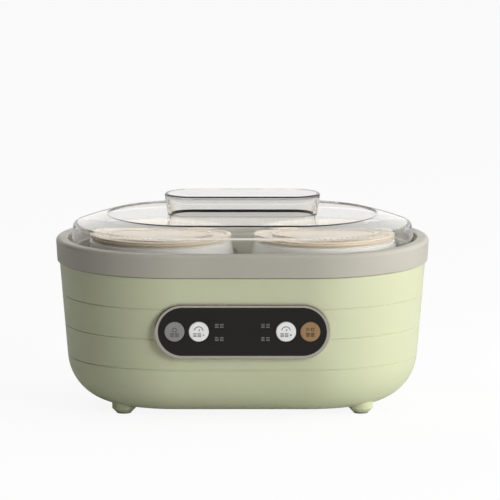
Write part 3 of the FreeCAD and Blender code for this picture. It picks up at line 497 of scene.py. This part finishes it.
def felt(name):
    """Pale felt with upright fibres."""
    finish = Finish(name)
    fibre = finish.noise(size=0.0012, detail=6.0, stretch=(1, 1, 0.3))
    finish.set(Base_Color=finish.blend(finish.spread(fibre, 0, 1), (206, 204, 196), (228, 226, 220)),
               Roughness=finish.spread(fibre, 0.85, 1.0), Sheen_Weight=0.3)
    finish.bump(fibre, depth=0.0006)


solder_mask("board_green")
felt("wool")
print("inner finishes: board, felt")

# %% [markdown]
# ## Finishes on the solids
# The record names a material slot for each solid, so one loop gives every node its finish.

# %% Assign the finishes
for row in frame["record"]["subparts"]:
    node = frame["nodes"][row["node"]]
    node.material_slots[0].material = finishes[row["material_slot"]].material

# %% [markdown]
# ## Pieces that repeat
# Screws, pressed rings and printed marks repeat, so node trees make them. A tree takes a few points or lines
# and its sizes as named inputs. The result is then kept as a plain mesh, so nothing depends on the modifier.


# %% Tools for pieces that repeat
def new_tree(name, *sizes, counts=()):
    """A geometry node tree whose inputs are places, named counts and sizes, and a finish."""
    tree = bpy.data.node_groups.new(name, "GeometryNodeTree")
    kinds = {"Places": "Geometry", **dict.fromkeys(counts, "Int"), **dict.fromkeys(sizes, "Float"),
             "Finish": "Material"}
    for label, kind in kinds.items():
        tree.interface.new_socket(label, in_out="INPUT", socket_type="NodeSocket" + kind)
    tree.interface.new_socket("Result", in_out="OUTPUT", socket_type="NodeSocketGeometry")
    return tree, tree.nodes.new("NodeGroupInput").outputs


def end_tree(tree, given, shape):
    """Make copies real, give them the finish and hand them out."""
    real = add_step(tree, "GeometryNodeRealizeInstances", Geometry=shape)
    dressed = add_step(tree, "GeometryNodeSetMaterial", Geometry=real.outputs[0], Material=given["Finish"])
    add_step(tree, "NodeGroupOutput", Result=dressed.outputs[0])
    return tree


def move(tree, shape, **change):
    """A shape with another Translation, Rotation or Scale."""
    return add_step(tree, "GeometryNodeTransform", Geometry=shape, **change).outputs[0]


def vector(tree, **parts):
    """A vector from its parts X, Y and Z; a part that isn't named is 0."""
    return add_step(tree, "ShaderNodeCombineXYZ", **parts).outputs[0]


def grow(name, tree, places, body, finish, sizes, edges=()):
    """Run a tree on points or lines and keep what it makes as a plain mesh on a body."""
    seed_mesh = bpy.data.meshes.new(name)
    seed_mesh.from_pydata(places, edges, [])
    piece = bpy.data.objects.new(name, seed_mesh)
    scene.collection.objects.link(piece)
    maker = piece.modifiers.new("maker", "NODES")
    maker.node_group = tree
    values = {**sizes, "Finish": finishes[finish].material}
    for item in tree.interface.items_tree:
        if item.in_out == "INPUT" and item.name in values:
            maker[item.identifier] = values[item.name]
    bpy.context.view_layer.update()
    made = bpy.data.meshes.new_from_object(piece.evaluated_get(bpy.context.evaluated_depsgraph_get()))
    piece.modifiers.remove(maker)
    piece.data = made
    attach(piece, body)
    print(name, len(made.polygons), "faces")
    return piece


def middle(node):
    """The middle of a node's box."""
    low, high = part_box(node)
    return (low + high) / 2


print("tools for pieces ready")

# %% [markdown]
# ### Base screws
# The base is held by pan-head screws with a cross recess, sunk in round wells. One screw is a cylinder, a
# cone and a shank joined by a Boolean, with a cross cut out, and the tree sets it at each screw's place. The
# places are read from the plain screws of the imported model, which these replace.

# %% Places of the base screws
MERGE_DISTANCE = 1e-6


def solid_boxes(node):
    """Lowest and highest corner of each separate solid in a node, read from its mesh."""
    shape = bmesh.new()
    shape.from_mesh(frame["nodes"][node].data)
    bmesh.ops.remove_doubles(shape, verts=shape.verts, dist=MERGE_DISTANCE)
    boxes, seen = [], set()
    for first in shape.verts:
        if first in seen:
            continue
        todo, group = [first], []
        seen.add(first)
        while todo:
            vertex = todo.pop()
            group.append(vertex.co.copy())
            for edge in vertex.link_edges:
                other = edge.other_vert(vertex)
                if other not in seen:
                    seen.add(other)
                    todo.append(other)
        low = Vector([min(p[axis] for p in group) for axis in range(3)])
        high = Vector([max(p[axis] for p in group) for axis in range(3)])
        boxes.append((low, high))
    shape.free()
    return boxes


screw_boxes = solid_boxes("base_screws")
print("base screws:", len(screw_boxes))

# %% [markdown]
# The head's parts are shares of its own radius and height, so a screw of another size keeps its shape. The
# cylinder and the cone meet in one plane. The Boolean's exact solver copes with that, and others can leave
# slivers there.

# %% Base screws
HEAD_RADIUS = 0.0028
HEAD_HEIGHT = 0.0018
SHANK_RADIUS = 0.0013
RECESS_WIDTH = 0.0007
WALL_SHARE = 0.55
CROWN_SHARE = 0.45
CROWN_TOP_SHARE = 0.72
RECESS_LENGTH_SHARE = 1.1
RECESS_MIDDLE_SHARE = 0.75
HEAD_REACH_SHARE = 0.72
SCREW_TURN = 0.4


def combine(tree, operation, solids, **inputs):
    """Join solids, or cut them from the one that is given as Mesh_1."""
    step = add_step(tree, "GeometryNodeMeshBoolean", **inputs)
    step.operation = operation
    step.solver = "EXACT"
    for solid in solids:
        feed(tree, solid, step.inputs["Mesh 2"])
    return step.outputs["Mesh"]


def screw_tree():
    """Screws with their heads down, from a shape that is built with its head up."""
    tree, given = new_tree("pan_head_screws", "Head Radius", "Head Height", "Shank Radius", "Shank Length",
                           "Recess Width")

    def share(size, part):
        return add_sum(tree, "MULTIPLY", given[size], part)

    wall = share("Head Height", WALL_SHARE)
    drum = add_step(tree, "GeometryNodeMeshCylinder", Vertices=48, Radius=given["Head Radius"], Depth=wall)
    cone = add_step(tree, "GeometryNodeMeshCone", Vertices=48, Radius_Bottom=given["Head Radius"],
                    Radius_Top=share("Head Radius", CROWN_TOP_SHARE), Depth=share("Head Height", CROWN_SHARE))
    half_wall = add_sum(tree, "MULTIPLY", wall, 0.5)
    crown = move(tree, cone.outputs["Mesh"], Translation=vector(tree, Z=half_wall))
    rod = add_step(tree, "GeometryNodeMeshCylinder", Vertices=24, Radius=given["Shank Radius"],
                   Depth=given["Shank Length"])
    shank = move(tree, rod.outputs["Mesh"], Translation=vector(tree, Z=share("Shank Length", -0.5)))
    plain_screw = combine(tree, "UNION", (drum.outputs["Mesh"], crown, shank))
    length = share("Head Radius", RECESS_LENGTH_SHARE)
    above = vector(tree, Z=share("Head Height", RECESS_MIDDLE_SHARE))
    blades = []
    for across, along in ((length, given["Recess Width"]), (given["Recess Width"], length)):
        size = vector(tree, X=across, Y=along, Z=given["Head Height"])
        blade = add_step(tree, "GeometryNodeMeshCube", Size=size)
        blades.append(move(tree, blade.outputs["Mesh"], Translation=above))
    screw = combine(tree, "DIFFERENCE", blades, Mesh_1=plain_screw)
    turned = move(tree, screw, Rotation=(math.pi, 0, SCREW_TURN))
    copies = add_step(tree, "GeometryNodeInstanceOnPoints", Points=given["Places"], Instance=turned)
    return end_tree(tree, given, copies.outputs[0])


screw_places = []
for low, high in screw_boxes:
    centre = (low + high) / 2
    screw_places.append((centre.x, centre.y, low.z + HEAD_REACH_SHARE * HEAD_HEIGHT))
screw_low, screw_high = screw_boxes[-1]
pan_screws = grow("pan_screws", screw_tree(), screw_places, "base", "steel", {
    "Head Radius": HEAD_RADIUS, "Head Height": HEAD_HEIGHT, "Shank Radius": SHANK_RADIUS,
    "Shank Length": screw_high.z - screw_low.z - HEAD_HEIGHT, "Recess Width": RECESS_WIDTH})
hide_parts("base_screws")

# %% [markdown]
# ### Pressed rings
# The heater plate has two rings pressed round each jar's place, which stiffen the sheet. They share a centre,
# so the tree scales one circle by its number in the row and runs a small round profile along it.


# %% Pressed rings
def ring_tree():
    """Flattened rings round each place, one pitch apart."""
    tree, given = new_tree("rings_on_one_centre", "First Radius", "Pitch", "Rib Radius", "Flatness",
                           counts=["Count"])
    row = add_step(tree, "GeometryNodeMeshLine", Count=given["Count"], Offset=(0, 0, 0))
    number = tree.nodes.new("GeometryNodeInputIndex").outputs[0]
    radius = add_sum(tree, "ADD", given["First Radius"], add_sum(tree, "MULTIPLY", number, given["Pitch"]))
    circle = add_step(tree, "GeometryNodeCurvePrimitiveCircle", Resolution=96, Radius=1.0)
    scaled = add_step(tree, "GeometryNodeInstanceOnPoints", Points=row.outputs["Mesh"],
                      Instance=circle.outputs["Curve"], Scale=radius)
    paths = add_step(tree, "GeometryNodeRealizeInstances", Geometry=scaled.outputs[0])
    profile = add_step(tree, "GeometryNodeCurvePrimitiveCircle", Resolution=10, Radius=given["Rib Radius"])
    ribs = add_step(tree, "GeometryNodeCurveToMesh", Curve=paths.outputs[0],
                    Profile_Curve=profile.outputs["Curve"])
    flat = move(tree, ribs.outputs[0], Scale=vector(tree, X=1.0, Y=1.0, Z=given["Flatness"]))
    smooth = add_step(tree, "GeometryNodeSetShadeSmooth", Geometry=flat)
    copies = add_step(tree, "GeometryNodeInstanceOnPoints", Points=given["Places"],
                      Instance=smooth.outputs[0])
    return end_tree(tree, given, copies.outputs[0])


rings = ring_tree()
plate_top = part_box("heater_plate")[1].z
ring_places = [(middle(jar).x, middle(jar).y, plate_top) for jar in ("jar_left", "jar_right")]
grow("plate_rings", rings, ring_places, "base", "aluminium", {
    "Count": 2, "First Radius": 0.0472, "Pitch": 0.0022, "Rib Radius": 0.0006, "Flatness": 0.6})

# %% [markdown]
# ### Rings on the lids
# Each lid has one broad, shallow ring moulded on its top, which stiffens the thin plate. The same tree makes
# it, with a count of one and a flatter, wider rib.

# %% Rings on the lids
for side in ("left", "right"):
    lid = "jar_lid_" + side
    top_middle = (middle(lid).x, middle(lid).y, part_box(lid)[1].z)
    grow(side + "_lid_ring", rings, [top_middle], side + "_lid", "lid_cream", {
        "Count": 1, "First Radius": 0.038, "Pitch": 0.0, "Rib Radius": 0.0016, "Flatness": 0.25})

# %% [markdown]
# ### Printed marks
# The keys and the window carry printed signs. A sign is drawn as a few lines in the plane of the panel, and a
# tree runs a thin round bead along them and flattens it, as screen-printed ink stands on plastic. Captions
# are blocks of short plain dashes.

# %% Tools for printed marks
INK_FLATNESS = 0.12
INK_GLOSS = (0.5, 0.6)
BLOCKS = 2
DASHES = 3


def ink_tree():
    """Flattened beads along lines, moved to the height of a face."""
    tree, given = new_tree("printed_lines", "Line Width", "Flatness", "Face")
    path = add_step(tree, "GeometryNodeMeshToCurve", Mesh=given["Places"])
    half = add_sum(tree, "MULTIPLY", given["Line Width"], 0.5)
    bead = add_step(tree, "GeometryNodeCurvePrimitiveCircle", Resolution=8, Radius=half)
    lines = add_step(tree, "GeometryNodeCurveToMesh", Curve=path.outputs[0],
                     Profile_Curve=bead.outputs["Curve"], Fill_Caps=True)
    flat = move(tree, lines.outputs[0], Scale=vector(tree, X=1.0, Y=given["Flatness"], Z=1.0),
                Translation=vector(tree, Y=given["Face"]))
    return end_tree(tree, given, flat)


class Drawing:
    """Lines in the panel's plane, in millimetres from a centre, kept as points and edges in metres."""

    def __init__(self, centre):
        self.x, self.z = centre.x, centre.z
        self.points, self.edges = [], []

    def line(self, places):
        """A line through a few places."""
        first = len(self.points)
        for x, z in places:
            self.points.append((self.x + x / 1000, 0, self.z + z / 1000))
        self.edges += [(first + i, first + i + 1) for i in range(len(places) - 1)]

    def arc(self, x, z, radius, start, end, steps=24):
        """Part of a circle, from one angle to another in degrees."""
        angles = [math.radians(start + (end - start) * i / steps) for i in range(steps + 1)]
        self.line([(x + radius * math.cos(a), z + radius * math.sin(a)) for a in angles])

    def caption(self, x, z, length, block_pitch, dash_pitch=1.05):
        """Two blocks of three dashes, round a middle."""
        for block in range(BLOCKS):
            for dash in range(DASHES):
                left = x + (block - (BLOCKS - 1) / 2) * block_pitch - length / 2
                height = z + ((DASHES - 1) / 2 - dash) * dash_pitch
                self.line([(left, height), (left + length, height)])

    def print_on(self, name, face, body, slot, finish, width):
        """Print the lines on a face, which is a place along Y."""
        sizes = {"Line Width": width, "Flatness": INK_FLATNESS, "Face": face}
        grow(name, ink, self.points, body, finish, sizes, edges=self.edges)


ink = ink_tree()
moulded("dark_ink", (64, 64, 66), (58, 58, 60), gloss=INK_GLOSS)
moulded("grey_ink", (78, 78, 78), (72, 72, 72), gloss=INK_GLOSS)
moulded("brown_ink", (72, 52, 30), (66, 47, 26), gloss=INK_GLOSS)
moulded("pale_ink", (128, 126, 120), (120, 118, 112), gloss=INK_GLOSS)
print("inks:", [name for name in finishes if name.endswith("_ink")])

# %% [markdown]
# The two white keys set the time: a dial arc with a hand, and a minus or plus sign. The grey key has a jar,
# and the bronze key a start arrow and a stop square.


# %% Marks on the keys
def print_key(name, drawing, finish, width):
    """Print a drawing on a key's front face."""
    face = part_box(name + "_button")[0].y
    drawing.print_on(name + "_marks", face, name + "_key", "part_black", finish, width)


for name, is_more in (("time_down", False), ("time_up", True)):
    dial = Drawing(middle(name + "_button"))
    dial.arc(0, 0.5, radius=3.3, start=170, end=10)
    dial.line([(0.1, 0.5), (0.9, 2.0)])
    dial.caption(-1.2, -2.5, length=2.7, block_pitch=3.3)
    dial.line([(2.9, -2.5), (4.3, -2.5)])
    if is_more:
        dial.line([(3.6, -1.8), (3.6, -3.2)])
    print_key(name, dial, "dark_ink", width=0.00055)

menu = Drawing(middle("menu_button"))
menu.line([(-1.3, 2.7), (1.3, 2.7)])
menu.line([(-0.9, 2.7), (-1.4, 1.9), (-1.4, 0.4), (-0.9, 0.0),
           (0.9, 0.0), (1.4, 0.4), (1.4, 1.9), (0.9, 2.7)])
menu.caption(0, -2.4, length=2.9, block_pitch=3.6)
print_key("menu", menu, "grey_ink", width=0.00068)

start = Drawing(middle("start_button"))
start.line([(-2.6, 2.9), (-0.6, 1.7), (-2.6, 0.5), (-2.6, 2.9)])
start.line([(0.7, 2.7), (2.7, 2.7), (2.7, 0.7), (0.7, 0.7), (0.7, 2.7)])
start.caption(0, -2.2, length=2.7, block_pitch=3.4)
print_key("start", start, "brown_ink", width=0.00072)

# %% [markdown]
# Beside the keys, four small marks on the window name the programs, with a lamp behind each. They are pairs
# of blocks made of three dashes.

# %% Marks on the window
PROGRAM_COLUMNS = (-17.2, 17.2)
PROGRAM_ROWS = (4.4, -5.6)

programs = Drawing(middle("panel_window"))
for x in PROGRAM_COLUMNS:
    for z in PROGRAM_ROWS:
        programs.caption(x, z, length=2.7, block_pitch=3.7, dash_pitch=1.15)
window_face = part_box("panel_window")[0].y
programs.print_on("program_marks", window_face, "base", "lead_white", "pale_ink", width=0.00055)
